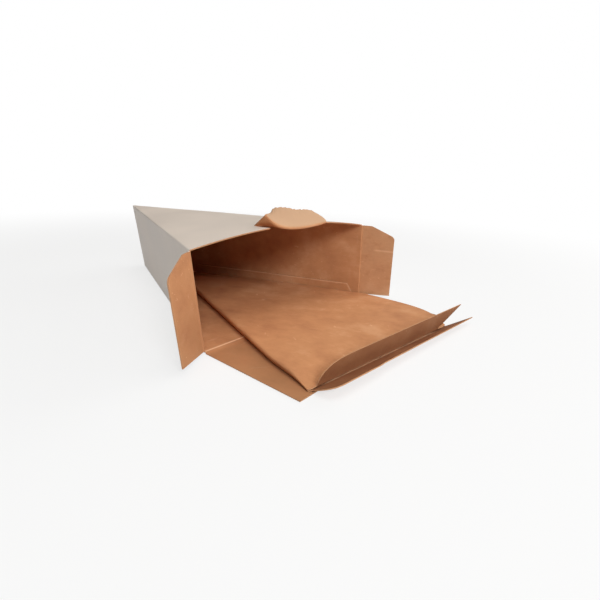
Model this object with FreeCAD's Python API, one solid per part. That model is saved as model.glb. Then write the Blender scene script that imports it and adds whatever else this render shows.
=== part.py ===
import FreeCAD, Part
import math
import os

# A triangular slice carton of thin card that lies open, with a folded card liner
# pulled part way out of its mouth.
# The frame: Z is up, the mouth faces -Y, X runs across the mouth, and the origin lies
# on the resting plane under the middle of the triangular floor.
# All sizes are in millimetres and all angles in degrees.

# The card and its folds: the floor's side folds are pressed flat by floor_trim
card = 0.5
fold_radius = 0.8
inner_fold_radius = 0.3
floor_trim = 0.25

# The carton, measured over its outer faces
mouth_width = 118.0
carton_depth = 166.0
carton_height = 45.0
apex_width = 1.6
top_bow = 4.8

# The glued strip along the inside foot of the right wall
strip_height = 6.8
strip_mouth_gap = 3.4
strip_bevel = 3.8
strip_length = 128.0

# The bottom front flap, which lies on the table
bottom_flap_depth = 58.5

# What is left of the top front flap, torn off and bent up and back over the top panel:
# its fold runs from the inner end of a slit in the panel to the mouth's edge
slit_x = -16.5
slit_length = 11.5
stub_right = 24.0
stub_depth = 10.3
stub_tilt = 50.0
stub_right_share = 0.2

# The two dust flaps on the sides of the mouth
dust_flap_depth = 20.4
dust_flap_shoulder = 5.7
dust_flap_drop = 5.6
dust_flap_foot_rise = 2.6
dust_flap_corner = 2.0
left_flap_opening = 145.0
right_flap_opening = 108.0
hinge_side_gap = 0.6
hinge_front_gap = 0.55
flap_root_gap = 0.2
flap_foot_gap = 0.4
flap_head_gap = 0.6

# The liner: two leaves joined by a rounded fold along their left side
liner_rest_gap = 0.1
liner_wall_gap = 1.0
liner_left_inset = 6.0
liner_overhang = 56.5
liner_nose_depth = 95.0
liner_fold_angle = 16.9
liner_skew = 7.0
liner_crease_length = 98.0
liner_fold_height_front = 2.8
liner_fold_height_back = 5.6
liner_leaf_gap = 0.3
liner_corner_start = 4.0
liner_corner_bulge = 8.5

# The lips along the front creases of the liner's leaves
lip_round_fullness = 0.66
upper_lip_angle = 80.0
upper_lip_left_depth = 9.9
upper_lip_right_depth = 11.0
upper_lip_round = 20.0
upper_lip_flare = 8.5
lower_lip_angle = 24.0
lower_lip_left_depth = 9.8
lower_lip_right_depth = 7.7
lower_lip_round = 11.0
lower_lip_flare = 18.5

# Places that follow from the sizes above
mouth_y = -carton_depth / 3
apex_y = mouth_y + carton_depth
wall_slope = (mouth_width - apex_width) / 2 / carton_depth
wall_angle = math.atan(wall_slope)
wall_inset = card / math.cos(wall_angle)
hinge_x = mouth_width / 2 + hinge_side_gap
hinge_y = mouth_y - hinge_front_gap
liner_floor = card + liner_rest_gap

# How far a piece reaches into its neighbour where one sheet runs on into the next,
# and how far a cutting shape runs past the edge that it cuts
joint_bite = 0.2
cut_overrun = 1.0


def vec(x, y, z):
    return FreeCAD.Vector(x, y, z)


def line(a, b):
    return Part.LineSegment(a, b).toShape()


def arc(a, middle, b):
    return Part.Arc(a, middle, b).toShape()


def prism(edges, direction):
    """A solid: a flat face with the given edges, carried along a direction."""
    return Part.Face(Part.Wire(edges)).extrude(direction)


def ruled_solid(first, last):
    """A solid between two outlines, with straight lines from one to the other."""
    return Part.makeLoft([first, last], True, True)


def half_width(y):
    """Half of the carton's outer width at a distance y along its centre line."""
    return apex_width / 2 + (apex_y - y) * wall_slope


def bow_at(y):
    """How far the top panel arches above the walls: nothing at the apex."""
    return top_bow * (apex_y - y) / carton_depth


def carton_section(y, low, side_inset, top_inset, radius):
    """The carton's outline across its length, inset from the outer faces."""
    half = half_width(y) - side_inset
    high = carton_height - top_inset
    cut = radius * (1 - math.sqrt(0.5))
    near = half - radius
    crown = vec(0, y, high + 2 * bow_at(y))
    top = Part.BezierCurve()
    top.setPoles([vec(near, y, high), crown, vec(-near, y, high)])
    edges = [
        line(vec(-near, y, low), vec(near, y, low)),
        arc(vec(near, y, low), vec(half - cut, y, low + cut), vec(half, y, low + radius)),
        line(vec(half, y, low + radius), vec(half, y, high - radius)),
        arc(vec(half, y, high - radius), vec(half - cut, y, high - cut), vec(near, y, high)),
        top.toShape(),
        arc(vec(-near, y, high), vec(cut - half, y, high - cut), vec(-half, y, high - radius)),
        line(vec(-half, y, high - radius), vec(-half, y, low + radius)),
        arc(vec(-half, y, low + radius), vec(cut - half, y, low + cut), vec(-near, y, low)),
    ]
    return Part.Wire(edges)


def make_walls():
    """Floor, side walls and bowed top panel: a tapering tube, open at the mouth."""
    end_radius = apex_width / 2 - joint_bite / 2
    outer_mouth = carton_section(mouth_y, -floor_trim, 0, 0, fold_radius)
    outer_apex = carton_section(apex_y, -floor_trim, 0, 0, end_radius)
    table_corner = vec(-mouth_width, mouth_y - cut_overrun, -carton_height)
    table = Part.makeBox(2 * mouth_width, carton_depth + 2 * cut_overrun, carton_height, table_corner)
    outer = ruled_solid(outer_mouth, outer_apex).cut(table)
    inner_start = mouth_y - cut_overrun
    inner_end = apex_y + (apex_width / 2 - wall_inset - inner_fold_radius - joint_bite) / wall_slope
    inner_mouth = carton_section(inner_start, card, wall_inset, card, inner_fold_radius)
    inner_apex = carton_section(inner_end, card, wall_inset, card, inner_fold_radius)
    inner = ruled_solid(inner_mouth, inner_apex)
    return outer.cut(inner)


def make_glue_strip():
    """The floor's side flap, turned up and glued to the foot of the right wall."""
    along = vec(-math.sin(wall_angle), math.cos(wall_angle), 0)
    inward = vec(-math.cos(wall_angle), -math.sin(wall_angle), 0)
    foot = vec(mouth_width / 2 - wall_inset, mouth_y, card - joint_bite) - inward * joint_bite
    up = vec(0, 0, strip_height + joint_bite)
    near = foot + along * strip_mouth_gap
    near_top = foot + along * (strip_mouth_gap + strip_bevel) + up
    far = foot + along * strip_length
    far_top = foot + along * (strip_length - strip_bevel) + up
    edges = [line(near, far), line(far, far_top), line(far_top, near_top), line(near_top, near)]
    return prism(edges, inward * (card + joint_bite))


def make_bottom_flap():
    """The flap that would close the mouth, folded down flat on the table."""
    corner = vec(-mouth_width / 2, mouth_y - bottom_flap_depth, 0)
    return Part.makeBox(mouth_width, bottom_flap_depth + joint_bite, card, corner)


def top_height(x, y):
    """The height of the top panel's underside at a place in plan."""
    near = half_width(y) - fold_radius
    return carton_height - card + bow_at(y) * (1 - (x / near) ** 2)


def stub_fold():
    """The two ends of the line on which the torn corner of the top panel bends up."""
    inner_y = mouth_y + slit_length
    inner = vec(slit_x, inner_y, top_height(slit_x, inner_y))
    outer = vec(stub_right, mouth_y, top_height(stub_right, mouth_y))
    return inner, outer


def make_torn_corner():
    """The corner that bends up out of the top panel, as a shape to cut from the panel."""
    inner, outer = stub_fold()
    low = carton_height / 2
    front_y = mouth_y - cut_overrun
    corners = [
        vec(inner.x, inner.y, low),
        vec(outer.x, outer.y, low),
        vec(outer.x, front_y, low),
        vec(inner.x, front_y, low),
        vec(inner.x, inner.y, low),
    ]
    return Part.Face(Part.makePolygon(corners)).extrude(vec(0, 0, carton_height))


def make_torn_stub():
    """The ragged rest of the top front flap, bent up and back on its diagonal fold."""
    inner, outer = stub_fold()
    tilt = math.radians(stub_tilt)
    fold = outer - inner
    level = vec(-fold.y, fold.x, 0)
    level.normalize()
    back = level * math.cos(tilt) + vec(0, 0, math.sin(tilt))

    def place(across, depth):
        return inner + fold * across + back * (depth * stub_depth)

    torn = Part.BSplineCurve()
    torn.interpolate([
        place(0.26, 0.66),
        place(0.31, 0.9),
        place(0.43, 1.0),
        place(0.53, 0.96),
        place(0.62, 0.84),
        place(0.8, 0.84),
        place(0.93, 0.58),
        place(1, stub_right_share),
    ])
    edges = [
        line(place(0, 0), place(0.18, 0.62)),
        line(place(0.18, 0.62), place(0.26, 0.66)),
        torn.toShape(),
        line(place(1, stub_right_share), place(1, 0)),
        line(place(1, 0), place(0, 0)),
    ]
    thickness = fold.cross(back)
    thickness.normalize()
    return prism(edges, thickness * card)


def make_carton():
    """The carton itself: one folded sheet with its bottom flap, strip and torn stub."""
    walls = make_walls().cut(make_torn_corner())
    carton = walls.fuse([make_glue_strip(), make_bottom_flap(), make_torn_stub()])
    return carton.removeSplitter()


def make_dust_flap(side, opening):
    """A dust flap on the left (-1) or right (1) edge of the mouth, opened by an angle."""
    low = card + flap_foot_gap
    high = carton_height - flap_head_gap
    far_low = low + dust_flap_foot_rise
    far_high = high - dust_flap_drop
    slant = math.atan2(dust_flap_drop, dust_flap_depth - dust_flap_shoulder)
    turn = (math.pi / 2 - slant) / 2
    trim = dust_flap_corner * math.tan(turn)
    sweep = dust_flap_corner * (1 / math.cos(turn) - 1)
    sharp = vec(dust_flap_depth, 0, far_high)
    before = sharp + vec(-math.cos(slant), 0, math.sin(slant)) * trim
    after = sharp + vec(0, 0, -trim)
    inward = vec(-math.cos(turn), 0, -math.sin(turn))
    middle = sharp + inward * sweep
    edges = [
        line(vec(flap_root_gap, 0, low), vec(dust_flap_depth, 0, far_low)),
        line(vec(dust_flap_depth, 0, far_low), after),
        arc(after, middle, before),
        line(before, vec(dust_flap_shoulder, 0, high)),
        line(vec(dust_flap_shoulder, 0, high), vec(flap_root_gap, 0, high)),
        line(vec(flap_root_gap, 0, high), vec(flap_root_gap, 0, low)),
    ]
    flap = prism(edges, vec(0, card, 0))
    flap.translate(vec(0, -card / 2, 0))
    closed_direction = 0 if side < 0 else 180
    flap.rotate(vec(0, 0, 0), vec(0, 0, 1), closed_direction + side * opening)
    flap.translate(vec(side * hinge_x, hinge_y, 0))
    return flap


def liner_right(y):
    """The liner's right edge: it runs along the inside of the right wall."""
    gap = wall_inset + liner_wall_gap / math.cos(wall_angle)
    return half_width(y) - gap


def liner_left(y):
    """The outside of the liner's left fold, in plan."""
    tip_x = liner_left_inset - mouth_width / 2
    tip_y = mouth_y - liner_overhang
    return tip_x + (y - tip_y) * math.tan(math.radians(liner_fold_angle))


def fold_height(y):
    """The rounded fold is tallest inside the carton and is pressed flatter at its front."""
    front = mouth_y - liner_overhang
    back = mouth_y + liner_nose_depth
    share = (y - front) / (back - front)
    return liner_fold_height_front + share * (liner_fold_height_back - liner_fold_height_front)


def liner_section(y):
    """A hairpin: the lower leaf, the round fold on the left and the upper leaf."""
    right = liner_right(y)
    radius = fold_height(y) / 2
    turn_x = liner_left(y) + radius
    low = liner_floor
    mid = low + radius
    top = low + 2 * radius
    seam = low + card + liner_leaf_gap
    edges = [
        line(vec(right, y, low), vec(turn_x, y, low)),
        arc(vec(turn_x, y, low), vec(turn_x - radius, y, mid), vec(turn_x, y, top)),
        line(vec(turn_x, y, top), vec(right, y, seam + card)),
        line(vec(right, y, seam + card), vec(right, y, seam)),
        line(vec(right, y, seam), vec(turn_x, y, top - card)),
        arc(vec(turn_x, y, top - card), vec(turn_x - radius + card, y, mid), vec(turn_x, y, low + card)),
        line(vec(turn_x, y, low + card), vec(right, y, low + card)),
        line(vec(right, y, low + card), vec(right, y, low)),
    ]
    return Part.Wire(edges)


def crease_frame():
    """The left end of the liner's front crease, the crease's direction and straight out."""
    skew = math.radians(-liner_skew)
    tip = vec(liner_left_inset - mouth_width / 2, mouth_y - liner_overhang, 0)
    along = vec(math.cos(skew), math.sin(skew), 0)
    outward = vec(math.sin(skew), -math.cos(skew), 0)
    return tip, along, outward


def liner_plan():
    """The plan that trims the leaves: front crease, round front corner and nose."""
    tip, along, outward = crease_frame()
    nose_y = mouth_y + liner_nose_depth
    corner_y = mouth_y - liner_corner_start
    end = tip + along * liner_crease_length
    start = vec(liner_right(corner_y), corner_y, 0)
    chord = end - start
    sideways = vec(-chord.y, chord.x, 0)
    sideways.normalize()
    middle = (start + end) * 0.5 + sideways * liner_corner_bulge
    left = tip - along * cut_overrun
    side_start = vec(start.x + cut_overrun, start.y, 0)
    side_nose = vec(start.x + cut_overrun, nose_y, 0)
    nose = vec(left.x, nose_y, 0)
    edges = [
        line(left, end),
        arc(end, middle, start),
        line(start, side_start),
        line(side_start, side_nose),
        line(side_nose, nose),
        line(nose, left),
    ]
    return prism(edges, vec(0, 0, carton_height))


def make_leaves():
    """Both leaves and the fold between them, before their lips are added."""
    nose_y = mouth_y + liner_nose_depth
    front_y = mouth_y - liner_overhang - mouth_width * math.sin(math.radians(liner_skew))
    leaves = ruled_solid(liner_section(front_y), liner_section(nose_y))
    return leaves.common(liner_plan())


def make_lip(angle, depths, round_length, flare, heights):
    """A lip turned up from a front crease, round at its left end and flared at its right.

    Its depths and the heights of its root are given for the left and the right end.
    """
    tip, along, outward = crease_frame()
    rise = math.radians(angle)
    out = outward * math.cos(rise) + vec(0, 0, math.sin(rise))
    root = tip + vec(0, 0, heights[0])
    end = tip + along * liner_crease_length + vec(0, 0, heights[1])
    run = (end - root).normalize()
    inner_face = run.cross(out).normalize()
    root_in = root - out * joint_bite
    end_in = end - out * joint_bite
    far_left = root + run * round_length + out * depths[0]
    bend_place = run * (round_length * (1 - lip_round_fullness))
    bend = root + bend_place + out * (depths[0] * lip_round_fullness)
    far_right = end + run * flare + out * depths[1]
    edges = [
        line(root_in, root),
        arc(root, bend, far_left),
        line(far_left, far_right),
        line(far_right, end),
        line(end, end_in),
        line(end_in, root_in),
    ]
    return prism(edges, inner_face * -card)


def make_lower_lip():
    """The lower leaf's lip, turned up a little from the table."""
    depths = (lower_lip_left_depth, lower_lip_right_depth)
    heights = (liner_floor, liner_floor)
    return make_lip(lower_lip_angle, depths, lower_lip_round, lower_lip_flare, heights)


def make_upper_lip():
    """The upper leaf's lip, turned up until it is nearly upright."""
    depths = (upper_lip_left_depth, upper_lip_right_depth)
    left_height = liner_floor + liner_fold_height_front - card
    right_height = liner_floor + card + liner_leaf_gap
    heights = (left_height, right_height)
    return make_lip(upper_lip_angle, depths, upper_lip_round, upper_lip_flare, heights)


def make_liner():
    """The folded liner: two leaves, the fold and the two lips, one sheet of card."""
    return make_leaves().fuse([make_lower_lip(), make_upper_lip()]).removeSplitter()


def main():
    os.makedirs("parts", exist_ok=True)
    pieces = {
        "carton": make_carton(),
        "left_dust_flap": make_dust_flap(-1, left_flap_opening),
        "right_dust_flap": make_dust_flap(1, right_flap_opening),
        "card_liner": make_liner(),
    }
    for name, shape in pieces.items():
        print(name, len(shape.Solids), shape.isValid(), round(shape.Volume, 1), shape.BoundBox)
        shape.exportStep("parts/" + name + ".step")


main()
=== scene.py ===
import math

import bpy
import numpy as np
from bpy.props import FloatProperty, FloatVectorProperty, PointerProperty
from mathutils import Matrix


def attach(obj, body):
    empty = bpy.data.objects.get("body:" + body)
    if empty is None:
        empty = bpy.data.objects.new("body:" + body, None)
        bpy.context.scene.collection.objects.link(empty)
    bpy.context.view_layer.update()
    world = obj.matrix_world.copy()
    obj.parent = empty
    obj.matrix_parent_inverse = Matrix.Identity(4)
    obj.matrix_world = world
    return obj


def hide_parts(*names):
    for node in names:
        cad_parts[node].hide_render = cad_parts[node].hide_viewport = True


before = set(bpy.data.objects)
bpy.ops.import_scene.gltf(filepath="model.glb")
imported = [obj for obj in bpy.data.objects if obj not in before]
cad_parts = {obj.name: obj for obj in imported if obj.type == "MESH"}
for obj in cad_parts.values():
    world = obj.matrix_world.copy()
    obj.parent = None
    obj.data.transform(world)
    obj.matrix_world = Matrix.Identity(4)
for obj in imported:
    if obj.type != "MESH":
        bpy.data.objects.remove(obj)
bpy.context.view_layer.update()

bl_info = {
    "name": "Slice Takeaway Box",
    "version": (1, 0, 0),
    "blender": (4, 5, 0),
    "location": "3D View > Sidebar > Slice Box",
    "description": "Folded card pieces of an open triangular takeaway box, round a fixed frame",
    "category": "Object",
}

MM = 0.001
SEED = 20
SHARP_ANGLE = math.radians(38)
WELD_GRID = 1e-6
# The third mark darkens the kraft: painted shade at the left flap's foot and over the bottom flap,
# there with some grime
MARKS = ("crease", "torn", "soiled", "dent")
# The torn edge: shares of the way along it, and there its place along the fold and its reach
TEAR_SHARES = (0, 0.06, 0.12, 0.25, 0.4, 0.55, 0.7, 0.82, 0.92, 1)
TEAR_PLACES = (0.28, 0.31, 0.35, 0.43, 0.52, 0.61, 0.71, 0.82, 0.92, 1)
TEAR_REACHES = (0.65, 0.9, 0.97, 1, 0.95, 0.83, 0.83, 0.8, 0.51, 0.15)


# Sizes and colours

def length(name, millimetres, description):
    """A length setting, given in millimetres and kept in metres."""
    return FloatProperty(
        name=name, description=description, default=millimetres * MM, precision=5,
        subtype="DISTANCE", unit="LENGTH")


def degrees(name, value, description):
    """An angle setting, given in degrees and kept in radians."""
    return FloatProperty(
        name=name, description=description, default=math.radians(value),
        subtype="ANGLE", unit="ROTATION")


def share(name, value, description):
    """A plain number between 0 and 1."""
    return FloatProperty(name=name, description=description, default=value, min=0, max=1)


def colour(name, value, description):
    """A colour setting in linear red, green and blue."""
    return FloatVectorProperty(
        name=name, description=description, default=value, size=3, min=0, max=1,
        subtype="COLOR")


def power(name, watts, description):
    """A lamp's power, in watts."""
    return FloatProperty(
        name=name, description=description, default=watts, subtype="POWER", unit="POWER")


class CartonSizes(bpy.types.PropertyGroup):
    card: length("Card", 0.5, "Thickness of the card")
    fold_radius: length("Fold radius", 0.8, "Outer radius of the carton's folds")
    mouth_width: length("Mouth width", 118, "Width of the open mouth over its walls")
    depth: length("Depth", 166, "From the mouth to the back edge")
    height: length("Height", 45, "Height of the side walls")
    apex_width: length("Back edge width", 1.6, "Width of the pressed back edge")
    top_bow: length("Top bow", 4.8, "How far the top panel arches at the mouth")
    dents: length("Dents", 0.12, "Depth of the soft dents in walls and top")
    bottom_flap_depth: length("Bottom flap", 58.5, "Depth of the flap on the table")
    flap_side_step: length("Flap side step", 0.8, "How far the bottom flap is wider than its fold")
    strip_height: length("Strip height", 6.8, "Height of the glue strip")
    strip_gap: length("Strip gap", 3.4, "From the mouth to the glue strip")
    strip_bevel: length("Strip bevel", 3.8, "Slant of the glue strip's ends")
    strip_length: length("Strip length", 128, "From the mouth to the strip's inner end")
    strip_lean: length("Strip lean", 0.55, "How far the strip's top edge stands off the wall")


class TornFlapSizes(bpy.types.PropertyGroup):
    slit_x: length("Slit place", -16.5, "Where the top panel is slit, across the mouth")
    slit_length: length("Slit length", 11.5, "Length of the slit back from the mouth")
    right_x: length("Right end", 24, "Where the tear ends on the mouth's edge")
    roll_back: length("Roll back", 2.0, "How far the lifted corner lies behind the mouth")
    corner_lean: length("Corner lean", 1.1, "How far the lifted corner leans to the left")
    roll_radius: length("Roll radius", 0.5, "Half height of the rolled edge")
    lift: length("Lift", 5.6, "How far the slit's corner is lifted")
    lift_share: share("Lift share", 0.09, "Share of the width over which the lift dies out")
    sag: length("Sag", 2.0, "How far the middle of the rolled edge sags")
    depth: length("Depth", 9.3, "Reach of the torn edge from the diagonal fold")
    tilt: degrees("Tilt", 50, "Slope of the torn edge's plane")
    bulge: length("Bulge", 0.9, "How far the bent-back card curls up")


class DustFlapSizes(bpy.types.PropertyGroup):
    depth: length("Depth", 20.4, "From the fold to the free edge")
    shoulder: length("Shoulder", 5.7, "Straight part of the top edge")
    drop: length("Drop", 5.6, "How far the top edge falls to the free edge")
    foot_rise: length("Foot rise", 2.6, "How far the left flap's bottom edge rises outwards")
    right_rise: length("Right foot rise", 1.2, "The same for the right flap")
    corner: length("Corner radius", 2.0, "Rounding of the upper free corner")
    foot: length("Foot", 0.9, "Height of the flap's lowest point")
    head: length("Head", 44.4, "Height of the flap's top edge")
    root_gap: length("Root gap", 0.2, "From the fold's axis to the flap's card")
    hinge_side_gap: length("Hinge side gap", 0.6, "Fold axis outside the mouth's width")
    hinge_front_gap: length("Hinge front gap", 0.55, "Fold axis in front of the mouth")
    crease_radius: length("Crease radius", 0.24, "Half thickness of the crease at the fold")
    curl: length("Curl", 0.3, "How far the free edge curls towards the kraft side")
    rub_height: length("Rubbed line height", 30.2, "Height of the pale line on the right flap")
    rub_width: length("Rubbed line width", 0.45, "From that line's middle to where it fades")
    left_opening: degrees("Left opening", 145, "How far the left flap is open at rest")
    right_opening: degrees("Right opening", 108, "How far the right flap is open at rest")


class LinerSizes(bpy.types.PropertyGroup):
    floor_gap: length("Floor gap", 0.1, "Between the carton's floor and the liner")
    wall_gap: length("Wall gap", 1.0, "Between the right wall and the liner")
    left_inset: length("Left inset", 6, "From the mouth's corner to the liner's tip, across")
    overhang: length("Overhang", 56.5, "How far the tip lies in front of the mouth")
    nose_depth: length("Nose depth", 95, "How far the liner reaches into the carton")
    fold_angle: degrees("Fold angle", 16.9, "Slant of the rounded fold in plan")
    skew: degrees("Skew", 7.0, "Slant of the front crease in plan")
    crease_length: length("Crease length", 98, "Length of the front crease")
    fold_front: length("Fold height in front", 3.6, "Height of the fold at its front")
    fold_back: length("Fold height at the back", 6.2, "Height of the fold at its inner end")
    pinch_height: length("Pinch height", 1.2, "Height of the fold where the crease pinches it")
    fold_waist: share("Fold waist", 0.7, "Share of the fold's height at which it is widest")
    fold_inset: FloatProperty(
        name="Fold inset", description="How far the fold runs in below its waist, per height",
        default=0.42, min=0.2, max=3)
    fold_shoulder: FloatProperty(
        name="Fold shoulder", description="Width of the fold's upper curve per height",
        default=0.32, min=0.2, max=2)
    fold_swell: length("Fold swell", 2.4, "How far the free fold swells out to the left")
    pinch_length: length("Pinch length", 8, "Length over which the crease pinches the fold")
    leaf_gap: length("Leaf gap", 0.3, "Between the two leaves at their right edge")
    corner_start: length("Corner start", 4, "Where the round corner starts, before the mouth")
    corner_bulge: length("Corner bulge", 8.5, "Bulge of the round front corner")
    corner_skew: length("Corner skew", 1.6, "How much fuller the bulge is in front")
    wave: length("Wave", 0.22, "Height of the soft waves in the upper leaf")
    bend: length("Bend", 1.1, "Length of card that a lip's bend takes up")
    upper_angle: degrees("Upper lip angle", 80, "How far the upper lip is turned up")
    upper_left_depth: length("Upper lip, left", 9.9, "Depth of the upper lip at its left")
    upper_right_depth: length("Upper lip, right", 11.0, "Depth of the upper lip at its right")
    upper_round: length("Upper lip rounding", 20, "Length of the upper lip's round end")
    upper_flare: length("Upper lip flare", 8.5, "How far the upper lip flares out")
    upper_left_trim: length("Upper lip trim, left", 3.5, "Step in at the crease on the left")
    upper_right_trim: length("Upper lip trim, right", 12, "Step in at the crease on the right")
    upper_step: length("Upper lip step", 0, "How much deeper the upper lip is on its left")
    lower_angle: degrees("Lower lip angle", 24, "How far the lower lip is turned up")
    lower_left_depth: length("Lower lip, left", 11.6, "Depth of the lower lip at its left")
    lower_right_depth: length("Lower lip, right", 7.7, "Depth of the lower lip at its right")
    lower_round: length("Lower lip rounding", 8, "Length of the lower lip's round end")
    lower_flare: length("Lower lip flare", 18.5, "How far the lower lip flares out")
    lower_left_trim: length("Lower lip trim, left", 1, "Step in at the crease on the left")
    lower_right_trim: length("Lower lip trim, right", 0, "Step in at the crease on the right")
    lower_step: length("Lower lip step", 0.7, "How much deeper the lower lip is on its left")
    step_start: length("Step start", 31, "From the tip to where a lip's step starts")
    step_end: length("Step end", 34, "From the tip to where a lip's step ends")


class Finish(bpy.types.PropertyGroup):
    kraft: colour("Kraft", (0.56, 0.262, 0.119), "Plain inside of the card")
    kraft_dark: colour("Kraft, dark", (0.42, 0.175, 0.08), "Dark mottling and fibres")
    kraft_light: colour("Kraft, light", (0.68, 0.37, 0.205), "Light mottling and scuffs")
    # Pale kraft also paints light: it pales the whole right flap and draws a highlight along the
    # glue strip's top edge
    kraft_pale: colour("Kraft, pale", (0.92, 0.60, 0.37), "Broken fibres along the creases")
    # Colour of painted shade with some grime, laid over the kraft
    soiled: colour("Shaded and grimy kraft", (0.33, 0.15, 0.066), "Kraft darkened by painted shade and grime")
    outside_shade: colour("Liner outside", (0.99, 0.97, 0.94), "Shade of the liner's outer side")
    # Painted shade: the liner's inner side, seen on the faces of both lips, is darkened for the
    # shade they lie in
    inside_shade: colour("Liner inside", (0.50, 0.42, 0.38), "Painted shade on the liner's inner side")
    torn: colour("Torn card", (0.52, 0.325, 0.20), "Rubbed and torn kraft")
    coating: colour("Coating", (0.785, 0.68, 0.59), "Coated outside of the card")
    coating_worn: colour("Coating, worn", (0.80, 0.76, 0.70), "Worn fold lines of the coating")
    edge: colour("Cut edge", (0.40, 0.22, 0.125), "Cut edge of the card")
    floor: colour("Floor", (0.80, 0.80, 0.80), "Plain pale floor")


class StageSettings(bpy.types.PropertyGroup):
    eye_x: length("Eye X", -138.91, "Camera place across the mouth")
    eye_y: length("Eye Y", -190.74, "Camera place along the carton")
    eye_z: length("Eye Z", 75.64, "Camera height")
    yaw: degrees("Yaw", 53.283, "Direction of view, from +Y towards +X")
    pitch: degrees("Pitch", -26.813, "Direction of view above the horizon")
    roll: degrees("Roll", 2.429, "Turn about the direction of view")
    top_power: power("Top power", 7.5, "Power of the lamp above the box")
    near_power: power("Camera side power", 8.8, "Power of the high lamp on the camera's side")
    right_power: power("Right power", 5.8, "Power of the low lamp on the right")
    front_power: power("Front power", 1.2, "Power of the high lamp in front")
    side_power: power("Front right power", 2.6, "Power of the high lamp in front, on the right")
    sky: share("Sky", 0.12, "Strength of the world's light")


# Small sums

def smooth(values, low, high):
    """Rises from 0 at low to 1 at high as 3t^2 - 2t^3."""
    t = np.clip((values - low) / (high - low), 0, 1)
    return t * t * (3 - 2 * t)


def bell(values, width):
    """A bell curve: 1 at 0, and hardly anything beyond twice the width."""
    return np.exp(-(values / width) ** 2)


def graded(middle, end, close, wide):
    """Numbers from 0 to the end, more closely spaced up to the middle one."""
    return np.concatenate([np.linspace(0, middle, close), np.linspace(middle, end, wide)[1:]])


def lifted(flat, height):
    """Points of a plan, put at one height or at a height for each."""
    z = np.broadcast_to(height, flat.shape[:-1])
    return np.concatenate([flat, z[..., None]], -1)


def between(a, b, t):
    """The point at share t of the way from a to b."""
    return a + (b - a) * t


def ripple(points, wavelength, seed):
    """A smooth random height between about -1 and 1: sine waves of random direction added up."""
    rng = np.random.default_rng(seed)
    total = np.zeros(points.shape[:-1])
    waves = 9
    for _ in range(waves):
        direction = rng.normal(size=3)
        direction /= np.linalg.norm(direction)
        stretch = rng.uniform(0.7, 1.8)
        phase = rng.uniform(0, 2 * math.pi)
        total += np.sin(points @ direction * (2 * math.pi * stretch / wavelength) + phase)
    return total * 2 / waves


def arc_through(a, middle, b, t):
    """Points at shares t of the circle's arc from a over middle to b, all in plan."""
    ax, ay = a
    bx, by = b
    mx, my = middle
    twice = 2 * (ax * (my - by) + mx * (by - ay) + bx * (ay - my))
    a2, m2, b2 = ax * ax + ay * ay, mx * mx + my * my, bx * bx + by * by
    cx = (a2 * (my - by) + m2 * (by - ay) + b2 * (ay - my)) / twice
    cy = (a2 * (bx - mx) + m2 * (ax - bx) + b2 * (mx - ax)) / twice
    radius = math.hypot(ax - cx, ay - cy)
    start = math.atan2(ay - cy, ax - cx)
    sweep = math.remainder(math.atan2(by - cy, bx - cx) - start, 2 * math.pi)
    angle = start + sweep * t
    return np.stack([cx + radius * np.cos(angle), cy + radius * np.sin(angle)], -1)


def smooth_path(controls, count):
    """A chain of quadratic curves from the first control point to the last.

    Each inner control bends the path between the middles of the two runs beside it.
    """
    runs = []
    for k in range(1, len(controls) - 1):
        start = controls[0] if k == 1 else (controls[k - 1] + controls[k]) / 2
        end = controls[-1] if k == len(controls) - 2 else (controls[k] + controls[k + 1]) / 2
        t = np.linspace(0, 1, count)[:, None, None]
        run = (1 - t) ** 2 * start + 2 * t * (1 - t) * controls[k] + t * t * end
        runs.append(run if k == 1 else run[1:])
    return np.concatenate(runs)


# Card made of patches

class Patch:
    """A grid of points on a sheet's outer side, with marks from 0 to 1 at each point.

    The outer side is where the direction along a row, crossed with the direction from row
    to row, points, and the other side if the patch is flipped. A mark that isn't given
    is 0.
    """

    def __init__(self, points, flip=False, **marks):
        self.points = np.asarray(points, dtype=float)
        self.flip = flip
        shape = self.points.shape[:2]
        self.marks = np.stack([np.broadcast_to(marks.get(name, 0.0), shape) for name in MARKS], -1)

    def triangles(self):
        """Two triangles for each cell of the grid."""
        rows, columns = self.points.shape[:2]
        index = np.arange(rows * columns).reshape(rows, columns)
        a, b = index[:-1, :-1], index[:-1, 1:]
        c, d = index[1:, 1:], index[1:, :-1]
        pair = np.stack([np.stack([a, b, c], -1), np.stack([a, c, d], -1)])
        if self.flip:
            pair = pair[..., ::-1]
        return pair.reshape(-1, 3)


def weld(patches):
    """Joins patches where their points coincide, and drops triangles without area.

    Points coincide that fall in the same cell of a fine grid, which is shifted so that no
    round coordinate lies on a cell's border. A joined point keeps its strongest marks.
    """
    points = np.concatenate([p.points.reshape(-1, 3) for p in patches])
    marks = np.concatenate([p.marks.reshape(-1, len(MARKS)) for p in patches])
    faces, start = [], 0
    for patch in patches:
        faces.append(patch.triangles() + start)
        start += patch.points.shape[0] * patch.points.shape[1]
    shift = 0.137
    keys = np.floor(points / WELD_GRID + shift).astype(np.int64)
    _, first, place = np.unique(keys, axis=0, return_index=True, return_inverse=True)
    place = place.reshape(-1)
    strongest = np.zeros((len(first), len(MARKS)))
    np.maximum.at(strongest, place, marks)
    faces = place[np.concatenate(faces)]
    a, b, c = faces.T
    faces = faces[(a != b) & (b != c) & (c != a)]
    return points[first], strongest, faces


def outward(points, faces):
    """The unit normal at each point: the sum of its triangles' normals by area."""
    a, b, c = (points[faces[:, k]] for k in range(3))
    across = np.cross(b - a, c - a)
    total = np.zeros_like(points)
    for k in range(3):
        np.add.at(total, faces[:, k], across)
    size = np.linalg.norm(total, axis=1, keepdims=True)
    return total / np.where(size > 0, size, 1)


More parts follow.
